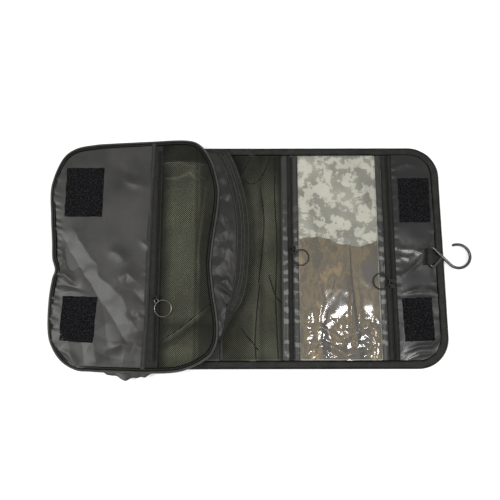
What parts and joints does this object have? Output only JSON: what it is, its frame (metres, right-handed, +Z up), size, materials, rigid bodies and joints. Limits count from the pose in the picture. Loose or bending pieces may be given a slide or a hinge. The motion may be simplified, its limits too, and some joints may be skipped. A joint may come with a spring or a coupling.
{
  "type": "hanging toiletry bag",
  "caption": "Folding fabric wash bag lying open: zipped box compartment, mesh and clear window pockets, hook-and-loop pads and a wire hanging hook.",
  "frame": {"origin": "centre of the bounding box in plan, on the surface the open bag lies on", "axes": "+X from the compartment to the hook, +Y across the bag, +Z up out of the open bag"},
  "size_m": [0.4448, 0.243, 0.0273],
  "materials": {
    "nylon": "dark grey woven nylon with a soft sheen",
    "binding": "black grosgrain binding and piping",
    "lining": "grey lining cloth",
    "board": "stiffening board inside the back",
    "mesh": "black knitted net",
    "mesh_backing": "olive grey cloth behind the net",
    "loop_tape": "black hook-and-loop tape",
    "zip_tape": "black woven zipper tape",
    "zip_coil": "black nylon zipper coil",
    "window_film": "clear flexible film",
    "pocket_lining": "light cloth behind the window",
    "liner_card": "brown card in the window pocket",
    "slider_metal": "black nickel",
    "ring_metal": "dark nickel wire",
    "hook_metal": "dark nickel wire"
  },
  "bodies": {
    "base": {"base_shell": "nylon", "base_binding": "binding", "base_board": "board", "base_lining": "lining", "gusset_low": "nylon", "side_zip_low": "zip_tape"},
    "pleat_low": {"pleat_low_leaf": "nylon", "pleat_low_tape": "zip_tape", "pleat_coil": "zip_coil"},
    "pleat_up": {"pleat_up_leaf": "nylon", "pleat_up_tape": "zip_tape"},
    "lid": {"lid_lining": "lining", "lid_panel": "nylon", "lid_seam_fold": "nylon", "lid_pocket_back": "mesh_backing", "lid_mesh": "mesh", "lid_piping": "binding", "gusset_up": "nylon", "side_zip_up": "zip_tape", "lid_zip_tapes": "zip_tape", "lid_zip_coil": "zip_coil", "lid_patch_top": "loop_tape", "lid_patch_bottom": "loop_tape"},
    "lid_slider": {"lid_zip_slider": "slider_metal"},
    "lid_ring": {"lid_zip_ring": "ring_metal"},
    "spine": {"spine_shell": "nylon", "spine_binding": "binding", "spine_backing": "mesh_backing", "spine_mesh": "mesh"},
    "flap": {"flap_shell": "nylon", "flap_binding": "binding", "fold_band": "nylon", "window_backing": "pocket_lining", "liner_card": "liner_card", "window": "window_film", "window_band": "nylon", "mesh_zip_tapes": "zip_tape", "mesh_zip_coil": "zip_coil", "window_zip_tapes": "zip_tape", "window_zip_coil": "zip_coil", "hang_panel": "nylon", "flap_patch_top": "loop_tape", "flap_patch_bottom": "loop_tape", "hook_tube": "nylon"},
    "mesh_slider": {"mesh_zip_slider": "slider_metal"},
    "mesh_ring": {"mesh_zip_ring": "ring_metal"},
    "window_slider": {"window_zip_slider": "slider_metal"},
    "window_ring": {"window_zip_ring": "ring_metal"},
    "hook": {"hanging_hook": "hook_metal"},
    "main_slider": {"main_slider": "slider_metal"},
    "main_pull": {"main_pull": "slider_metal"}
  },
  "joints": [
    {"name": "lid_open", "type": "hinge", "parent": "base", "child": "lid", "pos_m": [-0.2228, 0, 0.0142], "axis": [0, -1, 0], "range_deg": [0, 180]},
    {"name": "spine_fold", "type": "hinge", "parent": "base", "child": "spine", "pos_m": [-0.0443, 0, 0.0032], "axis": [0, -1, 0], "range_deg": [0, 90]},
    {"name": "flap_fold", "type": "hinge", "parent": "spine", "child": "flap", "pos_m": [0.0209, 0, 0.0032], "axis": [0, -1, 0], "range_deg": [0, 90]},
    {"name": "pleat_low_tuck", "type": "slide", "parent": "base", "child": "pleat_low", "axis": [-1, 0, 0], "range_m": [0, 0.068]},
    {"name": "pleat_up_tuck", "type": "slide", "parent": "lid", "child": "pleat_up", "axis": [-1, 0, 0], "range_m": [0, 0.068]},
    {"name": "lid_zip_slide", "type": "slide", "parent": "lid", "child": "lid_slider", "axis": [0, 1, 0], "range_m": [-0.055, 0.15]},
    {"name": "lid_ring_swing", "type": "hinge", "parent": "lid_slider", "child": "lid_ring", "pos_m": [-0.1103, -0.0492, 0.02535], "axis": [-0.7431, -0.6691, 0], "range_deg": [0, 150]},
    {"name": "mesh_zip_slide", "type": "slide", "parent": "flap", "child": "mesh_slider", "axis": [0, 1, 0], "range_m": [-0.108, 0.098]},
    {"name": "mesh_ring_swing", "type": "hinge", "parent": "mesh_slider", "child": "mesh_ring", "pos_m": [0.0313, 0.0046, 0.00645], "axis": [-0.6561, -0.7547, 0], "range_deg": [0, 100]},
    {"name": "window_zip_slide", "type": "slide", "parent": "flap", "child": "window_slider", "axis": [0, 1, 0], "range_m": [-0.072, 0.134]},
    {"name": "window_ring_swing", "type": "hinge", "parent": "window_slider", "child": "window_ring", "pos_m": [0.1367, -0.0314, 0.00645], "axis": [0.2079, 0.9781, 0], "range_deg": [0, 150]},
    {"name": "hook_flip", "type": "hinge", "parent": "flap", "child": "hook", "pos_m": [0.178, 0, 0.0049], "axis": [0, -1, 0], "range_deg": [0, 165]},
    {"name": "main_zip_slide", "type": "slide", "parent": "base", "child": "main_slider", "axis": [1, 0, 0], "range_m": [-0.036, 0.074]},
    {"name": "main_pull_swing", "type": "hinge", "parent": "main_slider", "child": "main_pull", "pos_m": [-0.1538, -0.1192, 0.0142], "axis": [0, 0, -1], "range_deg": [0, 90]}
  ],
  "couplings": [
    {"joint": "pleat_low_tuck", "follows": "spine_fold", "m_per_rad": 0.042},
    {"joint": "pleat_up_tuck", "follows": "spine_fold", "m_per_rad": 0.042}
  ]
}
